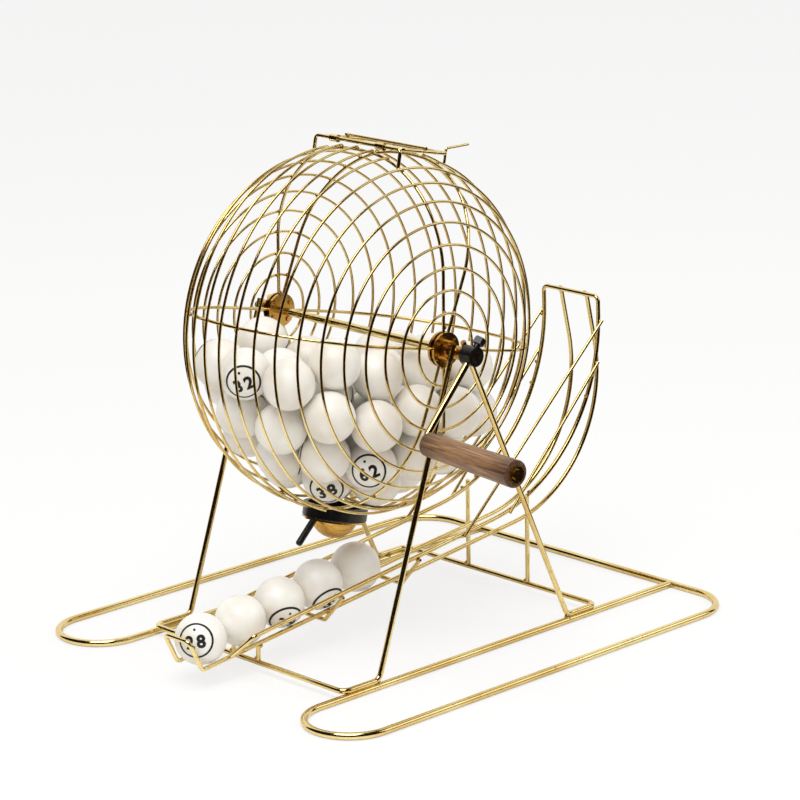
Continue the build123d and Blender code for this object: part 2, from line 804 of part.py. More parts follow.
# ---------------------------------------------------------------- crank and grip
arm_turn = radians(crank_angle)
arm_out = (-sin(arm_turn), -cos(arm_turn))
boss_start = crank_boss_diameter / 2 - weld_bite
arm_foot = (boss_start * arm_out[0], -crank_y, axle_height + boss_start * arm_out[1])
crank_corner = (crank_throw * arm_out[0], -crank_y, axle_height + crank_throw * arm_out[1])
pin_out = Vector(-sin(radians(pin_lean)), -cos(radians(pin_lean)), 0)
washer_start = grip_start + grip_length + grip_end_play
pin_end = Vector(*crank_corner) + pin_out * (washer_start + grip_washer)

with BuildPart() as crank_boss:
    with BuildSketch(hub_plane(-crank_y + crank_boss_length / 2, -1)):
        Circle(crank_boss_diameter / 2)
        Circle(hub_bore, mode=Mode.SUBTRACT)
    extrude(amount=crank_boss_length)
finish(crank_boss, "crank_boss")

screw_out = (-arm_out[0], 0, -arm_out[1])
screw_start = Vector(0, -crank_y, axle_height) + Vector(*screw_out) * boss_start
with BuildPart() as crank_screw:
    with BuildSketch(Plane(origin=screw_start, z_dir=screw_out)):
        Circle(set_screw_diameter / 2)
    extrude(amount=set_screw_stem)
    with BuildSketch(Plane(origin=screw_start + Vector(*screw_out) * set_screw_stem, z_dir=screw_out)):
        RegularPolygon(set_screw_head_diameter / 2, 6)
    extrude(amount=set_screw_head)
finish(crank_screw, "crank_screw")

with BuildPart() as crank_arm:
    with BuildLine() as arm_path:
        FilletPolyline(arm_foot, crank_corner, pin_end, radius=crank_corner_radius)
    with BuildSketch(Plane(origin=arm_path.line @ 0, z_dir=arm_path.line % 0)):
        Circle(crank_wire_diameter / 2)
    sweep()
    with BuildSketch(Plane(origin=pin_end, z_dir=pin_out)):
        Circle(pin_head_diameter / 2)
    extrude(amount=pin_head)
finish(crank_arm, "crank_arm")

pin_bore = crank_wire_diameter / 2 + turning_clearance
grip_axis = Axis(crank_corner, pin_out)
grip_plane = Plane(origin=crank_corner, x_dir=pin_out, z_dir=(0, 0, 1))
grip_end = grip_start + grip_length
with BuildPart() as grip:
    with BuildSketch(grip_plane) as grip_profile:
        with BuildLine():
            Polyline(
                (grip_start, grip_inner_diameter / 2),
                (grip_start, pin_bore),
                (grip_end, pin_bore),
                (grip_end, grip_outer_diameter / 2),
                close=True,
            )
        make_face()
        fillet(grip_profile.vertices().group_by(Axis(crank_corner, grip_plane.y_dir))[-1], grip_rounding)
        fillet(grip_profile.vertices().group_by(grip_axis)[0][-1:], grip_end_rounding)
    revolve(axis=grip_axis)
finish(grip, "grip")

with BuildPart() as grip_washer_part:
    with BuildSketch(Plane(origin=Vector(*crank_corner) + pin_out * washer_start, z_dir=pin_out)):
        Circle(grip_washer_diameter / 2)
        Circle(crank_wire_diameter / 2 + seat_clearance, mode=Mode.SUBTRACT)
    extrude(amount=grip_washer)
finish(grip_washer_part, "grip_washer")


# ---------------------------------------------------------------- balls
hoop_face_x = floor_front_x - hoop_run + rail_diameter / 2 + free_gap
first_ball_x = hoop_face_x + ball_radius + free_gap
with BuildPart() as drawn_balls:
    for number in range(drawn_ball_count):
        ball_x = first_ball_x + number * ball_pitch * cos(slope_angle)
        with Locations((ball_x, 0, floor_height(ball_x) + ball_lift)):
            Sphere(ball_radius)
finish(drawn_balls, "drawn_balls")

wall_depth = ring_over_rib + rib_wire_diameter / 2 + heap_wall_gap + ball_radius
axle_distance = axle_radius + heap_top_gap + ball_radius


def keep_inside(centre):
    # move a ball's centre back inside the cage and off the axle
    x, y, z = centre
    radius = max(hypot(x, z), weld_bite)
    depth, (out_r, out_y) = depth_inside(radius, abs(y))
    short = max(wall_depth - depth, 0)
    new_radius = max(radius - short * out_r, axle_distance)
    new_y = y - short * out_y * (1 if y > 0 else -1)
    return [x * new_radius / radius, new_y, z * new_radius / radius]


def loose_stack():
    # a loose stack of places below the axle line, a little uneven so that no rows show
    spacing = heap_spacing * 1.03
    row_height = 0.9 * spacing
    layers = int(cage_radius / spacing) + 1
    stack = []
    for i in range(-layers, layers + 1):
        for j in range(-layers, layers + 1):
            for k in range(-layers, 1):
                wobble = 0.2 * sin(12.9 * i + 78.2 * j + 37.7 * k)
                stagger = 0.5 * (k % 2)
                x, y, z = (i + wobble) * spacing, (j + stagger) * spacing, k * row_height
                depth, _ = depth_inside(hypot(x, z), abs(y))
                if depth > wall_depth - spacing / 6:
                    stack.append([x, y, z])
    return stack


def push_apart(a, b):
    # move two balls' centres apart where they are closer than the heap's spacing
    steps = [a[axis] - b[axis] for axis in range(3)]
    distance = max(hypot(*steps), weld_bite)
    if distance < heap_spacing:
        share = (heap_spacing - distance) / distance / 2
        for axis in range(3):
            a[axis] += steps[axis] * share
            b[axis] -= steps[axis] * share


def settled_heap():
    # the lowest balls of the stack, settled by many small falls, about the axle line
    down = (-sin(radians(heap_tilt)), -cos(radians(heap_tilt)))
    stack = sorted(loose_stack(), key=lambda place: -(place[0] * down[0] + place[2] * down[1]))
    centres = stack[:heap_ball_count]
    for step in range(heap_settle_steps):
        fall = 0.5 * max(0, 1 - 1.35 * step / heap_settle_steps)
        for centre in centres:
            centre[0] += fall * down[0]
            centre[2] += fall * down[1]
        for index, centre in enumerate(centres):
            for other in centres[:index]:
                push_apart(centre, other)
        centres = [keep_inside(centre) for centre in centres]
    return centres


heap_centres = settled_heap()
closest = min(
    hypot(a[0] - b[0], a[1] - b[1], a[2] - b[2])
    for index, a in enumerate(heap_centres)
    for b in heap_centres[:index]
)
print("heap:", len(heap_centres), "balls, closest centres", round(closest, 3))
print("heap top about the axle:", round(max(c[2] for c in heap_centres) + ball_radius, 1))
with BuildPart() as ball_heap:
    for x, y, z in heap_centres:
        with Locations((x, y, axle_height + z)):
            Sphere(ball_radius)
finish(ball_heap, "ball_heap")
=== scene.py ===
import json
import math
import random
import bpy
import bmesh
import numpy as np
from mathutils import Matrix, Quaternion, Vector
from mathutils.bvhtree import BVHTree


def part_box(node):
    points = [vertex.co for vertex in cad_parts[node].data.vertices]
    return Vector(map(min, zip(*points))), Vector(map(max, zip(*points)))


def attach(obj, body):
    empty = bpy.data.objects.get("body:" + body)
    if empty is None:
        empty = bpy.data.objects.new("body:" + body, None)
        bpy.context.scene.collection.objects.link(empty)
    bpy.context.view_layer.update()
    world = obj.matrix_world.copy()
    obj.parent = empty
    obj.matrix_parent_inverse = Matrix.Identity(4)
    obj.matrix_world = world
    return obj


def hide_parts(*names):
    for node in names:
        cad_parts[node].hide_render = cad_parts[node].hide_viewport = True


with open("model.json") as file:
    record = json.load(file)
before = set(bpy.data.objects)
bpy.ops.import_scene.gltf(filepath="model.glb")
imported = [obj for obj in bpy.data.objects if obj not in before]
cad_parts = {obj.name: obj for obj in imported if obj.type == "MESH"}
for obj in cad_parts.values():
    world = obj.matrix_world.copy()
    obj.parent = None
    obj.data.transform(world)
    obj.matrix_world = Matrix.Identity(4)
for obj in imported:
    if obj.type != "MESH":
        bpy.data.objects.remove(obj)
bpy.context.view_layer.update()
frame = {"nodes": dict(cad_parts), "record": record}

nodes = frame["nodes"]
scene = bpy.context.scene
mm = 0.001


# ---- small helpers

def toLinear(hexColour):
    # sRGB hex to the linear colour that a socket takes
    out = []
    for i in (1, 3, 5):
        c = int(hexColour[i:i + 2], 16) / 255
        out.append(c / 12.92 if c <= 0.04045 else ((c + 0.055) / 1.055) ** 2.4)
    return (*out, 1.0)


def newMaterial(name):
    mat = bpy.data.materials.new(name)
    mat.use_nodes = True
    tree = mat.node_tree
    return mat, tree, tree.nodes["Principled BSDF"]


def addNode(tree, kind, settings=None, *sources, **links):
    # one node: settings are attributes or sockets by name or number, sources feed its first
    # sockets in order, and links feed the named ones
    node = tree.nodes.new(kind)
    for key, value in (settings or {}).items():
        if isinstance(key, int) or key in node.inputs:
            node.inputs[key].default_value = value
        else:
            setattr(node, key, value)
    for number, source in enumerate(sources):
        tree.links.new(source, node.inputs[number])
    for key, source in links.items():
        tree.links.new(source, node.inputs[key])
    return node


def addRamp(tree, factor, stops):
    ramp = addNode(tree, "ShaderNodeValToRGB", {}, Fac=factor)
    first, last = ramp.color_ramp.elements
    first.position, first.color = stops[0]
    last.position, last.color = stops[-1]
    for position, colour in stops[1:-1]:
        ramp.color_ramp.elements.new(position).color = colour
    return ramp.outputs["Color"]


def dress(nodeName, mat):
    # give a CAD node its finish
    mesh = nodes[nodeName].data
    mesh.materials.clear()
    mesh.materials.append(mat)


def newObject(name, bm, mat):
    mesh = bpy.data.meshes.new(name)
    bm.to_mesh(mesh)
    bm.free()
    mesh.materials.append(mat)
    obj = bpy.data.objects.new(name, mesh)
    scene.collection.objects.link(obj)
    return obj


def newPiece(name, bm, mat, body):
    # a smooth piece that rides on a body
    for face in bm.faces:
        face.smooth = True
    obj = newObject(name, bm, mat)
    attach(obj, body)
    return obj


def onlyVerts(geom):
    return [g for g in geom if isinstance(g, bmesh.types.BMVert)]


def axisFrame(origin, zDir, xHint):
    # matrix whose local Z runs along zDir
    z = Vector(zDir).normalized()
    x = Vector(xHint) - z * Vector(xHint).dot(z)
    x.normalize()
    y = z.cross(x)
    return Matrix.Translation(origin) @ Matrix((x, y, z)).transposed().to_4x4()


joints = {joint["name"]: joint for joint in frame["record"]["behaviour"]["joints"]}


# ---- finishes

wireLook = {
    "bright": "#f1dc9d",      # fresh lacquered brass
    "deep": "#dcbc74",        # where the lacquer is thicker
    "tarnish": "#8a6228",     # dull brown spots
    "patchSize": 38.0,        # mm
    "spotSize": 1.7,          # mm
    "spotStrength": 0.7,
    "drawLine": 0.35,         # mm between drawing lines, coarser than real so that it shows
    "lineDepth": 0.02,        # mm
    "roughness": (0.10, 0.22),
}


def makeBrassWire():
    # drawn brass wire, polished and lacquered: sharp reflections, deeper gold in long patches,
    # a few brown spots
    mat, tree, bsdf = newMaterial("drawnBrassWire")
    coords = addNode(tree, "ShaderNodeTexCoord").outputs["Object"]
    patch = addNode(tree, "ShaderNodeTexNoise",
                    {"Scale": 1 / (wireLook["patchSize"] * mm), "Detail": 2.0, "Roughness": 0.5},
                    Vector=coords)
    colour = addRamp(tree, patch.outputs["Fac"], [
        (0.38, toLinear(wireLook["deep"])),
        (0.62, toLinear(wireLook["bright"])),
    ])
    spots = addNode(tree, "ShaderNodeTexNoise",
                    {"Scale": 1 / (wireLook["spotSize"] * mm), "Detail": 3.0, "Roughness": 0.6},
                    Vector=coords)
    amount = addNode(tree, "ShaderNodeMapRange", {
        "From Min": 0.60, "From Max": 0.78,
        "To Max": wireLook["spotStrength"]}, Value=spots.outputs["Fac"])
    mix = addNode(tree, "ShaderNodeMix", {"data_type": "RGBA", "B": toLinear(wireLook["tarnish"])},
                  Factor=amount.outputs["Result"], A=colour)
    tree.links.new(mix.outputs["Result"], bsdf.inputs["Base Color"])
    rough = addNode(tree, "ShaderNodeMapRange", {
        "From Min": 0.35, "From Max": 0.75, "To Min": wireLook["roughness"][0],
        "To Max": wireLook["roughness"][1]}, Value=spots.outputs["Fac"])
    tree.links.new(rough.outputs["Result"], bsdf.inputs["Roughness"])
    lines = addNode(tree, "ShaderNodeTexNoise",
                    {"Scale": 1 / (wireLook["drawLine"] * mm), "Detail": 2.0}, Vector=coords)
    bump = addNode(tree, "ShaderNodeBump", {"Strength": 0.10, "Distance": wireLook["lineDepth"] * mm},
                   Height=lines.outputs["Fac"])
    tree.links.new(bump.outputs["Normal"], bsdf.inputs["Normal"])
    bsdf.inputs["Metallic"].default_value = 1.0
    return mat


turnedLook = {
    "bright": "#dcb263",
    "deep": "#cc9a4a",
    "cloudSize": 22.0,        # mm
    "ringPitch": 0.45,        # mm between tool marks
    "ringDepth": 0.02,        # mm
    "roughness": (0.20, 0.27),
}


def makeTurnedBrass():
    # turned and pressed brass: darker gold, softer gloss, fine tool marks
    mat, tree, bsdf = newMaterial("turnedBrass")
    coords = addNode(tree, "ShaderNodeTexCoord").outputs["Object"]
    cloud = addNode(tree, "ShaderNodeTexNoise",
                    {"Scale": 1 / (turnedLook["cloudSize"] * mm), "Detail": 1.0}, Vector=coords)
    colour = addRamp(tree, cloud.outputs["Fac"], [
        (0.3, toLinear(turnedLook["deep"])),
        (0.65, toLinear(turnedLook["bright"])),
    ])
    tree.links.new(colour, bsdf.inputs["Base Color"])
    rough = addNode(tree, "ShaderNodeMapRange", {
        "From Min": 0.3, "From Max": 0.7, "To Min": turnedLook["roughness"][1],
        "To Max": turnedLook["roughness"][0]}, Value=cloud.outputs["Fac"])
    tree.links.new(rough.outputs["Result"], bsdf.inputs["Roughness"])
    marks = addNode(tree, "ShaderNodeTexNoise",
                    {"Scale": 1 / (turnedLook["ringPitch"] * mm), "Detail": 1.0}, Vector=coords)
    bump = addNode(tree, "ShaderNodeBump", {"Strength": 0.05, "Distance": turnedLook["ringDepth"] * mm},
                   Height=marks.outputs["Fac"])
    tree.links.new(bump.outputs["Normal"], bsdf.inputs["Normal"])
    bsdf.inputs["Metallic"].default_value = 1.0
    return mat


brazeLook = {
    "dull": "#9c7636",
    "bright": "#dfc07c",
    "cloudSize": 1.5,         # mm
    "ripple": 0.08,           # mm deep
    "roughness": 0.34,
}


def makeBraze():
    # silver braze run over with brass lacquer: paler and duller than the wire
    mat, tree, bsdf = newMaterial("brazedJoint")
    coords = addNode(tree, "ShaderNodeTexCoord").outputs["Object"]
    cloud = addNode(tree, "ShaderNodeTexNoise",
                    {"Scale": 1 / (brazeLook["cloudSize"] * mm), "Detail": 3.0}, Vector=coords)
    colour = addRamp(tree, cloud.outputs["Fac"], [
        (0.35, toLinear(brazeLook["dull"])),
        (0.65, toLinear(brazeLook["bright"])),
    ])
    tree.links.new(colour, bsdf.inputs["Base Color"])
    bump = addNode(tree, "ShaderNodeBump", {"Strength": 0.4, "Distance": brazeLook["ripple"] * mm},
                   Height=cloud.outputs["Fac"])
    tree.links.new(bump.outputs["Normal"], bsdf.inputs["Normal"])
    bsdf.inputs["Metallic"].default_value = 1.0
    bsdf.inputs["Roughness"].default_value = brazeLook["roughness"]
    return mat


enamelLook = {
    "base": "#0b0a0a",
    "worn": "#2b2724",
    "cloudSize": 2.5,         # mm
    "ripple": 0.05,           # mm deep
    "roughness": 0.30,
}


def makeBlackEnamel():
    # stoved black enamel on steel, a little worn
    mat, tree, bsdf = newMaterial("blackEnamel")
    coords = addNode(tree, "ShaderNodeTexCoord").outputs["Object"]
    cloud = addNode(tree, "ShaderNodeTexNoise",
                    {"Scale": 1 / (enamelLook["cloudSize"] * mm), "Detail": 5.0}, Vector=coords)
    colour = addRamp(tree, cloud.outputs["Fac"], [
        (0.5, toLinear(enamelLook["base"])),
        (0.75, toLinear(enamelLook["worn"])),
    ])
    tree.links.new(colour, bsdf.inputs["Base Color"])
    bump = addNode(tree, "ShaderNodeBump", {"Strength": 0.2, "Distance": enamelLook["ripple"] * mm},
                   Height=cloud.outputs["Fac"])
    tree.links.new(bump.outputs["Normal"], bsdf.inputs["Normal"])
    bsdf.inputs["Roughness"].default_value = enamelLook["roughness"]
    return mat


steelLook = {"dark": "#77736e", "bright": "#c2bfba", "cloudSize": 0.8, "roughness": 0.3}   # cloud in mm


def makeSpringSteel():
    # plain drawn spring wire: grey, a little cloudy, soft gloss
    mat, tree, bsdf = newMaterial("springSteel")
    coords = addNode(tree, "ShaderNodeTexCoord").outputs["Object"]
    cloud = addNode(tree, "ShaderNodeTexNoise",
                    {"Scale": 1 / (steelLook["cloudSize"] * mm), "Detail": 2.0}, Vector=coords)
    colour = addRamp(tree, cloud.outputs["Fac"], [
        (0.3, toLinear(steelLook["dark"])),
        (0.7, toLinear(steelLook["bright"])),
    ])
    tree.links.new(colour, bsdf.inputs["Base Color"])
    bsdf.inputs["Metallic"].default_value = 1.0
    bsdf.inputs["Roughness"].default_value = steelLook["roughness"]
    return mat


woodLook = {
    "light": "#b08a62",
    "mid": "#815c3e",
    "dark": "#45311f",
    "grainWidth": 1.1,        # mm across one grain line
    "grainLength": 22.0,      # mm along it
    "grainDepth": 0.12,       # mm
    "endTint": "#6b5547",
    "endStart": 17.0,         # mm from the middle, where the ends begin to darken
    "endFull": 30.0,          # mm, where they would be fully dark
    "endStrength": 0.75,
    "roughness": 0.42,
    "oil": 0.15,              # share of a clear coat
}
gripDir = Vector(joints["grip_spin"]["axis"]).normalized()


def makeWood():
    # stained hardwood handle, oiled: grain runs along it, and the colour darkens towards both ends
    mat, tree, bsdf = newMaterial("stainedHardwood")
    coords = addNode(tree, "ShaderNodeTexCoord").outputs["Object"]
    turn = gripDir.to_track_quat("Z", "X").to_matrix().inverted().to_euler()
    lay = addNode(tree, "ShaderNodeMapping", {"vector_type": "POINT", "Rotation": turn}, Vector=coords)
    stretch = addNode(tree, "ShaderNodeMapping", {"vector_type": "POINT", "Scale": (
        1 / (woodLook["grainWidth"] * mm),
        1 / (woodLook["grainWidth"] * mm),
        1 / (woodLook["grainLength"] * mm))}, Vector=lay.outputs["Vector"])
    grain = addNode(tree, "ShaderNodeTexNoise",
                    {"Scale": 1.0, "Detail": 5.0, "Roughness": 0.65, "Distortion": 0.4},
                    Vector=stretch.outputs["Vector"])
    colour = addRamp(tree, grain.outputs["Fac"], [
        (0.30, toLinear(woodLook["dark"])),
        (0.48, toLinear(woodLook["mid"])),
        (0.70, toLinear(woodLook["light"])),
    ])
    along = addNode(tree, "ShaderNodeSeparateXYZ", {}, Vector=lay.outputs["Vector"])
    # distance from the middle of the handle, to darken both ends
    low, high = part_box("grip")
    middle = ((Vector(low) + Vector(high)) / 2).dot(gripDir)
    off = addNode(tree, "ShaderNodeMath", {"operation": "SUBTRACT", 1: middle}, along.outputs["Z"])
    size = addNode(tree, "ShaderNodeMath", {"operation": "ABSOLUTE"}, off.outputs["Value"])
    ends = addNode(tree, "ShaderNodeMapRange", {
        "From Min": woodLook["endStart"] * mm, "From Max": woodLook["endFull"] * mm,
        "To Min": 0.0, "To Max": woodLook["endStrength"]}, Value=size.outputs["Value"])
    mix = addNode(tree, "ShaderNodeMix",
                  {"data_type": "RGBA", "blend_type": "MULTIPLY", "B": toLinear(woodLook["endTint"])},
                  Factor=ends.outputs["Result"], A=colour)
    tree.links.new(mix.outputs["Result"], bsdf.inputs["Base Color"])
    bump = addNode(tree, "ShaderNodeBump", {"Strength": 0.35, "Distance": woodLook["grainDepth"] * mm},
                   Height=grain.outputs["Fac"])
    tree.links.new(bump.outputs["Normal"], bsdf.inputs["Normal"])
    bsdf.inputs["Roughness"].default_value = woodLook["roughness"]
    bsdf.inputs["IOR"].default_value = 1.5
    bsdf.inputs["Coat Weight"].default_value = woodLook["oil"]
    bsdf.inputs["Coat Roughness"].default_value = 0.25
    return mat


ballLook = {
    "shell": "#f4f1ea",
    "shade": "#e9e2d6",
    "cloudSize": 16.0,        # mm
    "skinGrain": 1.2,         # mm, the faint orange peel of the moulding
    "skinDepth": 0.05,        # mm
    "seamHalf": 0.22,         # mm, half width of the moulding seam, wider than real so that it shows
    "seamDepth": 0.06,        # mm
    "roughness": 0.32,
    "glowDepth": 1.5,         # mm that light reaches into the plastic
    "sides": (40, 20),        # faces round a ball, and pole to pole
    "leastFaces": 20,         # fewer CAD faces than this round one point are no ball
}
ballRadius = (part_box("drawn_balls")[1].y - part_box("drawn_balls")[0].y) / 2


def makeBallPlastic():
    # moulded polystyrene ball: smooth, faintly warm, softly glossy, with a hair of a moulding seam
    mat, tree, bsdf = newMaterial("mouldedBallPlastic")
    spot = addNode(tree, "ShaderNodeAttribute", {"attribute_name": "ballSpot"}).outputs["Vector"]
    coords = addNode(tree, "ShaderNodeTexCoord").outputs["Object"]
    cloud = addNode(tree, "ShaderNodeTexNoise",
                    {"Scale": 1 / (ballLook["cloudSize"] * mm), "Detail": 2.0}, Vector=coords)
    colour = addRamp(tree, cloud.outputs["Fac"], [
        (0.35, toLinear(ballLook["shade"])),
        (0.60, toLinear(ballLook["shell"])),
    ])
    tree.links.new(colour, bsdf.inputs["Base Color"])
    fine = addNode(tree, "ShaderNodeTexNoise",
                   {"Scale": 1 / (ballLook["skinGrain"] * mm), "Detail": 3.0}, Vector=coords)
    skin = addNode(tree, "ShaderNodeBump", {"Strength": 0.08, "Distance": ballLook["skinDepth"] * mm},
                   Height=fine.outputs["Fac"])
    height = addNode(tree, "ShaderNodeSeparateXYZ", {}, Vector=spot)
    off = addNode(tree, "ShaderNodeMath", {"operation": "ABSOLUTE"}, height.outputs["Z"])
    ridge = addNode(tree, "ShaderNodeMapRange", {
        "interpolation_type": "SMOOTHSTEP", "From Max": ballLook["seamHalf"] * mm / ballRadius,
        "To Min": 1.0, "To Max": 0.0}, Value=off.outputs["Value"])
    seam = addNode(tree, "ShaderNodeBump", {"Strength": 0.5, "Distance": ballLook["seamDepth"] * mm},
                   Height=ridge.outputs["Result"], Normal=skin.outputs["Normal"])
    tree.links.new(seam.outputs["Normal"], bsdf.inputs["Normal"])
    bsdf.inputs["Roughness"].default_value = ballLook["roughness"]
    bsdf.inputs["IOR"].default_value = 1.55
    bsdf.inputs["Subsurface Weight"].default_value = 0.12
    bsdf.inputs["Subsurface Scale"].default_value = ballLook["glowDepth"] * mm
    return mat


inkLook = {"full": "#0d0c0c", "thin": "#2a2826", "cloudSize": 0.9, "roughness": 0.55}   # cloud in mm


def makeBallInk():
    # black pad-printed ink, matt, slightly uneven
    mat, tree, bsdf = newMaterial("padPrintInk")
    coords = addNode(tree, "ShaderNodeTexCoord").outputs["Object"]
    cloud = addNode(tree, "ShaderNodeTexNoise",
                    {"Scale": 1 / (inkLook["cloudSize"] * mm), "Detail": 3.0}, Vector=coords)
    colour = addRamp(tree, cloud.outputs["Fac"], [
        (0.4, toLinear(inkLook["full"])),
        (0.8, toLinear(inkLook["thin"])),
    ])
    tree.links.new(colour, bsdf.inputs["Base Color"])
    bsdf.inputs["Roughness"].default_value = inkLook["roughness"]
    return mat


brassWire = makeBrassWire()
turnedBrass = makeTurnedBrass()
braze = makeBraze()
blackEnamel = makeBlackEnamel()
springSteel = makeSpringSteel()
wood = makeWood()
ballPlastic = makeBallPlastic()
ballInk = makeBallInk()

finishes = {
    "brass_wire": brassWire,
    "turned_brass": turnedBrass,
    "black_metal": blackEnamel,
    "spring_steel": springSteel,
    "grip_wood": wood,
    "ball_white": ballPlastic,
}
for subpart in frame["record"]["subparts"]:
    dress(subpart["node"], finishes[subpart["material_slot"]])
print("stage: finishes on", len(nodes), "nodes")


# ---- balls with their printed numbers

printLook = {
    "ringOuter": 8.0,         # mm from the middle, along the ball's skin
    "ringWidth": 0.95,
    "digitSize": 7.6,         # font size in mm
    "boldness": 0.3,          # mm added round each stroke
    "digitStep": 4.9,         # mm between the middles of two digits
    "digitDrop": 0.8,         # mm below the middle of the ring
    "dotPlace": 4.8,          # mm above it
    "dotRadius": 0.6,
    "sides": (56, 10),        # corners of the ring, and of the dot
    "lift": 0.05,             # mm above the ball
    "cell": 1.1,              # mm, the print is cut this fine before it is wrapped
    "weld": 0.005,            # mm
}


def readFaces(nodeName):
    # corners, middles and normals of a CAD node's triangles
    mesh = nodes[nodeName].data
    points = np.empty(len(mesh.vertices) * 3)
    mesh.vertices.foreach_get("co", points)
    corners = np.empty(len(mesh.loops), dtype=int)
    mesh.loops.foreach_get("vertex_index", corners)
    normals = np.empty(len(mesh.polygons) * 3)
    mesh.polygons.foreach_get("normal", normals)
    triangles = points.reshape(-1, 3)[corners].reshape(-1, 3, 3)
    return triangles, triangles.mean(axis=1), normals.reshape(-1, 3)


def ballCentres(nodeName):
    # every face of a ball looks straight away from its middle
    _, middles, normals = readFaces(nodeName)
    left = middles - normals * ballRadius
    centres = []
    while len(left):
        near = np.linalg.norm(left - left[0], axis=1) < ballRadius / 3
        if near.sum() > ballLook["leastFaces"]:       # a few slivers have no proper normal
            centres.append(Vector(left[near].mean(axis=0)))
        left = left[~near]
    return sorted(centres, key=lambda c: (round(c.x, 4), round(c.y, 4), round(c.z, 4)))


def flatDigit(digit):
    # one digit as a flat mesh, cut into small cells so that it can bend
    font = bpy.data.curves.new("digit", "FONT")
    font.body = str(digit)
    font.align_x, font.align_y = "CENTER", "CENTER"
    font.size = printLook["digitSize"] * mm
    font.offset = printLook["boldness"] * mm
    font.resolution_u = 3
    holder = bpy.data.objects.new("digit", font)
    scene.collection.objects.link(holder)
    graph = bpy.context.evaluated_depsgraph_get()
    mesh = bpy.data.meshes.new_from_object(holder.evaluated_get(graph))
    bpy.data.objects.remove(holder)
    bpy.data.curves.remove(font)
    bm = bmesh.new()
    bm.from_mesh(mesh)
    bmesh.ops.remove_doubles(bm, verts=bm.verts, dist=printLook["weld"] * mm)
    steps = int(printLook["digitSize"] / printLook["cell"])
    for axis in range(2):
        for k in range(-steps, steps + 1):
            place, normal = Vector((0, 0, 0)), Vector((0, 0, 0))
            place[axis], normal[axis] = k * printLook["cell"] * mm, 1
            everything = bm.verts[:] + bm.edges[:] + bm.faces[:]
            bmesh.ops.bisect_plane(bm, geom=everything, plane_co=place, plane_no=normal)
    bmesh.ops.triangulate(bm, faces=bm.faces)
    bm.to_mesh(mesh)
    bm.free()
    return mesh


digits = [flatDigit(digit) for digit in range(10)]


def flatPrint(number):
    # ring, number and dot, flat, with its middle at the origin
    bm = bmesh.new()
    text = str(number)
    for place, digit in enumerate(text):
        before = len(bm.verts)
        bm.from_mesh(digits[int(digit)])
        bm.verts.ensure_lookup_table()
        shift = (place - (len(text) - 1) / 2) * printLook["digitStep"] * mm
        bmesh.ops.translate(bm, verts=bm.verts[before:], vec=(shift, -printLook["digitDrop"] * mm, 0))
    ringSides, dotSides = printLook["sides"]
    dot = bmesh.ops.create_circle(bm, cap_ends=True, segments=dotSides, radius=printLook["dotRadius"] * mm)
    bmesh.ops.translate(bm, verts=dot["verts"], vec=(0, printLook["dotPlace"] * mm, 0))
    bmesh.ops.create_circle(bm, cap_ends=False, segments=ringSides, radius=printLook["ringOuter"] * mm)
    ring = [edge for edge in bm.edges if edge.is_wire]
    inner = onlyVerts(bmesh.ops.extrude_edge_only(bm, edges=ring)["geom"])
    shrink = 1 - printLook["ringWidth"] / printLook["ringOuter"]
    bmesh.ops.scale(bm, verts=inner, vec=(shrink, shrink, 1))
    bm.normal_update()
    for face in bm.faces:
        if face.normal.z < 0:
            face.normal_flip()
    return bm


def wrapOn(bm, centre, turn):
    # roll the flat print onto its ball
    reach = ballRadius + printLook["lift"] * mm
    for vert in bm.verts:
        flat = Vector((vert.co.x, vert.co.y))
        angle = flat.length / ballRadius
        side = flat.normalized() if flat.length else Vector((1, 0))
        spot = Vector((side.x * math.sin(angle), side.y * math.sin(angle), math.cos(angle))) * reach
        vert.co = centre + turn @ spot


def facing(direction, up, spin):
    # turn that points the print along direction, its top towards up
    z = Vector(direction).normalized()
    y = Vector(up) - z * Vector(up).dot(z)
    y.normalize()
    base = Matrix((y.cross(z), y, z)).transposed().to_quaternion()
    return base @ Quaternion((0, 0, 1), math.radians(spin))


def plainBall():
    # one ball with its poles to the sides of its print, which remembers where each point was
    bm = bmesh.new()
    spotLayer = bm.verts.layers.float_vector.new("ballSpot")
    around, upward = ballLook["sides"]
    bmesh.ops.create_uvsphere(bm, u_segments=around, v_segments=upward, radius=ballRadius)
    for vert in bm.verts:
        vert[spotLayer] = vert.co / ballRadius
    mesh = bpy.data.meshes.new("plainBall")
    bm.to_mesh(mesh)
    bm.free()
    return mesh


def addBalls(nodeName, centres, prefix, numbers, turns):
    shells, prints = bmesh.new(), bmesh.new()
    template = plainBall()
    for index, centre in enumerate(centres):
        turn = turns(index, centre)
        across = turn @ Quaternion((1, 0, 0), math.radians(90))
        ball = template.copy()
        ball.transform(Matrix.Translation(centre) @ across.to_matrix().to_4x4())
        shells.from_mesh(ball)
        bpy.data.meshes.remove(ball)
        label = flatPrint(numbers[index])
        wrapOn(label, centre, turn)
        wrapped = bpy.data.meshes.new("label")
        label.to_mesh(wrapped)
        label.free()
        prints.from_mesh(wrapped)
        bpy.data.meshes.remove(wrapped)
    bmesh.ops.recalc_face_normals(shells, faces=shells.faces)
    shellPiece = newPiece(prefix + "Shells", shells, ballPlastic, nodeName)
    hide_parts(nodeName)
    newPiece(prefix + "Prints", prints, ballInk, nodeName)
    print("stage:", len(centres), "balls for", nodeName)


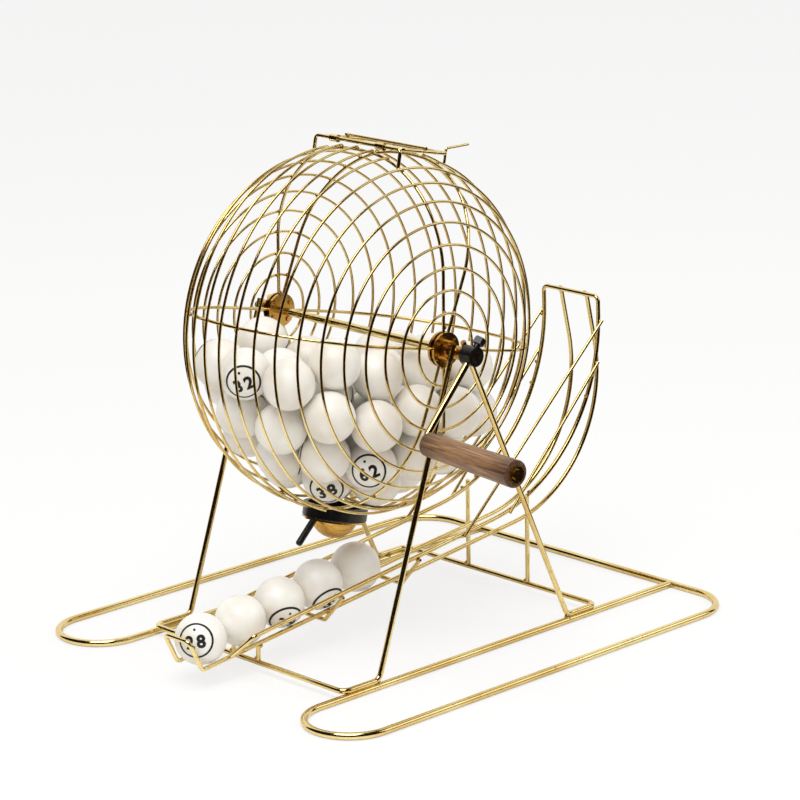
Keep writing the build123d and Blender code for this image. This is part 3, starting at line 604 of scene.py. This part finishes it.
drawnLook = {
    # number, way that its print faces, and turn about that way, front ball first
    "numbers": (28, 61, 39, 5, 43),
    "facings": (
        (-0.78, -0.60, 0.26),
        (0.6, 0.7, 0.3),
        (-0.30, -0.72, -0.55),
        (-0.10, -0.80, -0.60),
        (0.5, 0.8, 0.2),
    ),
    "spins": (8, 0, -12, -20, 40),
}
heapLook = {
    "seed": 21,
    "lastNumber": 75,         # the highest number in a full set
    "middle": (0, 0, 0.105),  # metres, middle of the heap
    # the nearest ball to each place shows its print that way; no other print faces this side
    "shown": (
        ((-0.064, 0.004, 0.126), (-0.70, -0.68, -0.12)),
        ((-0.022, -0.047, 0.078), (-0.74, -0.64, 0.05)),
        ((-0.050, -0.016, 0.066), (-0.66, -0.62, -0.25)),
    ),
    "shownSpin": 20,
    "quietWay": (-0.64, -0.75, 0.15),
    "quietSpread": 75.0,      # degrees round that way
    "outwardShare": 0.4,      # of the other prints, the share that may face out of the heap
    "inward": 0.75,           # how far the rest turn into it
    "top": (0.3, 0.2, 1),     # way that their tops lean before each is spun
}

chance = random.Random(heapLook["seed"])
spare = [n for n in range(1, heapLook["lastNumber"] + 1) if n not in drawnLook["numbers"]]
chance.shuffle(spare)
heapCentres = ballCentres("ball_heap")
shownTurns = {}
for place, way in heapLook["shown"]:
    nearest = min(range(len(heapCentres)), key=lambda i: (heapCentres[i] - Vector(place)).length)
    shownTurns[nearest] = way


def heapTurn(index, centre):
    outward = (centre - Vector(heapLook["middle"])).normalized()
    quiet = Vector(heapLook["quietWay"]).normalized()
    way = Vector([chance.gauss(0, 1) for _ in range(3)]).normalized()
    spin = chance.uniform(0, 360)
    if chance.random() > heapLook["outwardShare"]:
        way = (way - outward * (way.dot(outward) + heapLook["inward"])).normalized()
    if way.dot(quiet) > math.cos(math.radians(heapLook["quietSpread"])):
        way = -way
    if index in shownTurns:
        return facing(shownTurns[index], (0, 0, 1), heapLook["shownSpin"])
    return facing(way, heapLook["top"], spin)


def drawnTurn(index, centre):
    return facing(drawnLook["facings"][index], (0, 0, 1), drawnLook["spins"][index])


addBalls("ball_heap", heapCentres, "heapBall", spare, heapTurn)
addBalls("drawn_balls", ballCentres("drawn_balls"), "drawnBall", drawnLook["numbers"], drawnTurn)


# ---- gate spring, wound from wire

springLook = {
    "wire": 0.5,              # mm across the wire
    "turns": 3.4,
    "steps": 20,              # steps in one turn
    "sides": 8,
    "leg": 3.6,               # mm, the straight end on each side
}


def addSpring():
    low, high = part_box("gate_spring")
    axis = Vector(joints["gate_swing"]["axis"]).normalized()
    middle = (low + high) / 2
    wire = springLook["wire"] * mm
    radius = (high.y - low.y) / 2 - wire / 2
    side = axis.cross(Vector((0, 1, 0))).normalized()
    rise = 2 * max((v.co - middle).dot(axis) for v in nodes["gate_spring"].data.vertices) - wire
    bm = bmesh.new()
    bmesh.ops.create_circle(
        bm, cap_ends=False, segments=springLook["sides"], radius=wire / 2,
        matrix=axisFrame(middle - axis * rise / 2 + side * radius, axis.cross(side), axis))
    count = int(springLook["turns"] * springLook["steps"])
    bmesh.ops.spin(
        bm, geom=bm.edges[:] + bm.verts[:], cent=middle, axis=axis,
        angle=springLook["turns"] * 2 * math.pi, steps=count, dvec=axis * rise / count,
        use_merge=False, use_duplicate=False)
    for end in openEnds(bm):
        out = bmesh.ops.extrude_edge_only(bm, edges=end)["geom"]
        verts = onlyVerts(out)
        centre = sum((v.co for v in verts), Vector()) / len(verts)
        outward = centre - middle
        outward -= axis * outward.dot(axis)
        tangent = axis.cross(outward).normalized()
        if centre.dot(axis) < middle.dot(axis):
            tangent = -tangent
        bmesh.ops.translate(bm, verts=verts, vec=tangent * springLook["leg"] * mm)
        rim = [g for g in out if isinstance(g, bmesh.types.BMEdge) and all(v in verts for v in g.verts)]
        bmesh.ops.contextual_create(bm, geom=rim)
    bmesh.ops.recalc_face_normals(bm, faces=bm.faces)
    piece = newPiece("gateSpringCoil", bm, springSteel, "cage")
    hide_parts("gate_spring")
    print("stage: gate spring wound")


def openEnds(bm):
    # the open edge loops, one list each
    left = [edge for edge in bm.edges if edge.is_boundary]
    loops = []
    while left:
        todo, loop = [left.pop(0)], []
        while todo:
            edge = todo.pop()
            loop.append(edge)
            for other in [e for vert in edge.verts for e in vert.link_edges if e in left]:
                left.remove(other)
                todo.append(other)
        loops.append(loop)
    return loops


addSpring()


# ---- brazed joints, where two wires of one body meet

jointLook = {
    "puff": 0.10,             # mm, wires closer than this are joined
    "merge": 2.4,             # mm, touching spots closer than this are one joint
    "grow": 1.36,             # fillet radius over the radius of the thinner wire
    "settleSteps": 8,         # times that a spot is moved between the two wires
    "sides": (10, 6),         # faces round a joint, and pole to pole
    # wire radii in mm, the rest being cage rings and ribs
    "radii": {
        "base_wire": 1.6, "front_leg_wire": 1.2, "rear_leg_wire": 1.2, "side_rail_wire": 1.0,
        "floor_rail_wire": 1.0, "front_chute_rib": 0.9, "rear_chute_rib": 0.9, "near_rear_post": 1.0,
        "far_rear_post": 1.0, "near_front_riser": 1.0, "far_front_riser": 1.0,
    },
    "thin": 0.65,
    "skip": (
        "axle", "near_hub", "far_hub", "near_clamp_disc", "far_clamp_disc", "hub_rivets", "outlet_collar",
        "gate_pin", "gate_spring", "crank_boss", "crank_screw", "crank_arm", "grip_washer", "door_sleeves",
    ),
}


def wireTree(nodeName):
    # search trees of a wire's faces as they are, and puffed out a hair, with the faces' middles
    triangles, middles, normals = readFaces(nodeName)
    puffed = triangles + normals[:, None, :] * jointLook["puff"] * mm
    sides = np.arange(len(triangles) * 3).reshape(-1, 3).tolist()
    low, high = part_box(nodeName)
    return {
        "name": nodeName, "low": low, "high": high, "middles": [Vector(m) for m in middles],
        "plain": BVHTree.FromPolygons(triangles.reshape(-1, 3).tolist(), sides, all_triangles=True),
        "puffed": BVHTree.FromPolygons(puffed.reshape(-1, 3).tolist(), sides, all_triangles=True),
    }


def touchingSpots(a, b):
    # middles of the places where two wires touch
    if any(a["low"][i] > b["high"][i] or b["low"][i] > a["high"][i] for i in range(3)):
        return []
    apart = jointLook["merge"] * mm
    starts = []
    for first, second in a["puffed"].overlap(b["plain"]):
        point = (a["middles"][first] + b["middles"][second]) / 2
        if all((point - other).length >= apart for other in starts):
            starts.append(point)
    spots = []
    for point in starts:
        for _ in range(jointLook["settleSteps"]):
            point = a["plain"].find_nearest(point)[0]
            point = b["plain"].find_nearest(point)[0]
        if all((point - other).length > apart for other in spots):
            spots.append(point)
    return spots


def addJoints(body):
    names = [n for n in frame["record"]["behaviour"]["bodies"][body] if n not in jointLook["skip"]]
    trees = [wireTree(name) for name in names]
    around, upward = jointLook["sides"]
    bm = bmesh.new()
    count = 0
    for i, a in enumerate(trees):
        for b in trees[:i]:
            thinner = min(jointLook["radii"].get(t["name"], jointLook["thin"]) for t in (a, b))
            for spot in touchingSpots(a, b):
                bmesh.ops.create_uvsphere(
                    bm, u_segments=around, v_segments=upward,
                    radius=thinner * jointLook["grow"] * mm, matrix=Matrix.Translation(spot))
                count += 1
    newPiece(body + "Joints", bm, braze, body)
    print("stage:", count, "brazed joints on", body)


for body in ("frame", "cage", "filling_door"):
    addJoints(body)


# ---- stage, lights and camera

plainWhite = (1, 1, 1, 1)
floorLook = {
    "colour": "#f2f1ef",
    "roughness": 0.6,
    "whiteShare": 0.72,       # share of plain white that the camera sees in the floor
    "halfSize": 6.0,          # metres
}


def makeFloor():
    # matt pale board, part of it plain white to the camera, so that it keeps a light shadow
    mat, tree, bsdf = newMaterial("paleFloor")
    bsdf.inputs["Base Color"].default_value = toLinear(floorLook["colour"])
    bsdf.inputs["Roughness"].default_value = floorLook["roughness"]
    glow = addNode(tree, "ShaderNodeEmission", {"Color": plainWhite, "Strength": 1.0})
    path = addNode(tree, "ShaderNodeLightPath")
    share = addNode(tree, "ShaderNodeMath", {"operation": "MULTIPLY", 1: floorLook["whiteShare"]},
                    path.outputs["Is Camera Ray"])
    mix = addNode(tree, "ShaderNodeMixShader", {},
                  share.outputs["Value"], bsdf.outputs["BSDF"], glow.outputs["Emission"])
    tree.links.new(mix.outputs["Shader"], tree.nodes["Material Output"].inputs["Surface"])
    bm = bmesh.new()
    bmesh.ops.create_grid(bm, x_segments=1, y_segments=1, size=floorLook["halfSize"])
    newObject("floor", bm, mat)


roomLook = {
    "colour": "#1c140c",
    "way": -131.0,            # degrees from +X about Z, to the middle of the wall
    "spread": 120.0,          # degrees to each side of that way
    "steps": 24,
    # radius and height in metres: the table's end, the foot of the wall, its shoulder and its top
    "profile": ((0.24, 0.002), (4.0, 0.002), (3.2, 2.4), (0.4, 4.0)),
}


def addDarkRoom():
    # a dark sheet standing in for the unlit half of the room: a painted dark reflection, which only shows
    # as a reflection in the metal
    mat, tree, bsdf = newMaterial("unlitWall")
    tree.nodes.remove(bsdf)
    dark = addNode(tree, "ShaderNodeEmission", {"Color": toLinear(roomLook["colour"]), "Strength": 1.0})
    tree.links.new(dark.outputs["Emission"], tree.nodes["Material Output"].inputs["Surface"])
    bm = bmesh.new()
    start = Matrix.Rotation(math.radians(roomLook["way"] - roomLook["spread"]), 3, "Z")
    verts = [bm.verts.new(start @ Vector((reach, 0, rise))) for reach, rise in roomLook["profile"]]
    edges = [bm.edges.new(pair) for pair in zip(verts, verts[1:])]
    bmesh.ops.spin(
        bm, geom=verts + edges, cent=(0, 0, 0), axis=(0, 0, 1), steps=roomLook["steps"],
        angle=math.radians(2 * roomLook["spread"]), use_merge=False, use_duplicate=False)
    room = newObject("darkRoom", bm, mat)
    room.visible_camera = False
    room.visible_diffuse = False
    room.visible_shadow = False
    room.visible_transmission = False


worldLook = {"light": 0.66}   # strength for everything but what is seen


def makeWorld():
    # plain white to the camera and in reflections, dimmer as a light
    world = bpy.data.worlds.new("studio")
    world.use_nodes = True
    scene.world = world
    tree = world.node_tree
    tree.nodes.clear()
    out = addNode(tree, "ShaderNodeOutputWorld")
    path = addNode(tree, "ShaderNodeLightPath")
    direct = addNode(tree, "ShaderNodeMath", {"operation": "MAXIMUM"},
                     path.outputs["Is Camera Ray"], path.outputs["Is Glossy Ray"])
    seen = addNode(tree, "ShaderNodeMath", {"operation": "MAXIMUM"},
                   direct.outputs["Value"], path.outputs["Is Transmission Ray"])
    light = addNode(tree, "ShaderNodeBackground", {"Color": plainWhite, "Strength": worldLook["light"]})
    white = addNode(tree, "ShaderNodeBackground", {"Color": plainWhite, "Strength": 1.0})
    mix = addNode(tree, "ShaderNodeMixShader", {},
                  seen.outputs["Value"], light.outputs["Background"], white.outputs["Background"])
    tree.links.new(mix.outputs["Shader"], out.inputs["Surface"])


lampLook = {
    # place and size in metres, power in watts
    "key": {"place": (-0.5, -0.3, 1.3), "size": (0.9, 0.9), "power": 12.5},
    "fill": {"place": (0.9, -0.9, 0.7), "size": (0.8, 0.8), "power": 3.0},
}
lampTarget = Vector((0, 0, 0.1))


def addLamp(name):
    look = lampLook[name]
    light = bpy.data.lights.new(name, "AREA")
    light.shape = "RECTANGLE"
    light.size, light.size_y = look["size"]
    light.energy = look["power"]
    obj = bpy.data.objects.new(name, light)
    obj.location = look["place"]
    obj.rotation_euler = (lampTarget - obj.location).to_track_quat("-Z", "Y").to_euler()
    scene.collection.objects.link(obj)


cameraLook = {
    "place": (-0.9320, -1.0073, 0.4834),   # metres
    "target": (0.012, -0.012, 0.104),
    "roll": -1.11,                         # degrees
    "lens": 148.0,                         # mm
    "sensor": 36.0,
    "farthest": 20.0,                      # metres
}


def makeCamera():
    data = bpy.data.cameras.new("camera")
    data.lens = cameraLook["lens"]
    data.sensor_width = cameraLook["sensor"]
    data.clip_end = cameraLook["farthest"]
    obj = bpy.data.objects.new("camera", data)
    place = Vector(cameraLook["place"])
    look = (Vector(cameraLook["target"]) - place).to_track_quat("-Z", "Y")
    obj.rotation_mode = "QUATERNION"
    obj.rotation_quaternion = look @ Quaternion((0, 0, 1), math.radians(cameraLook["roll"]))
    obj.location = place
    scene.collection.objects.link(obj)
    scene.camera = obj


makeFloor()
makeWorld()
addDarkRoom()
for name in lampLook:
    addLamp(name)
makeCamera()
scene.view_settings.view_transform = "Standard"

print("stage: scene ready")
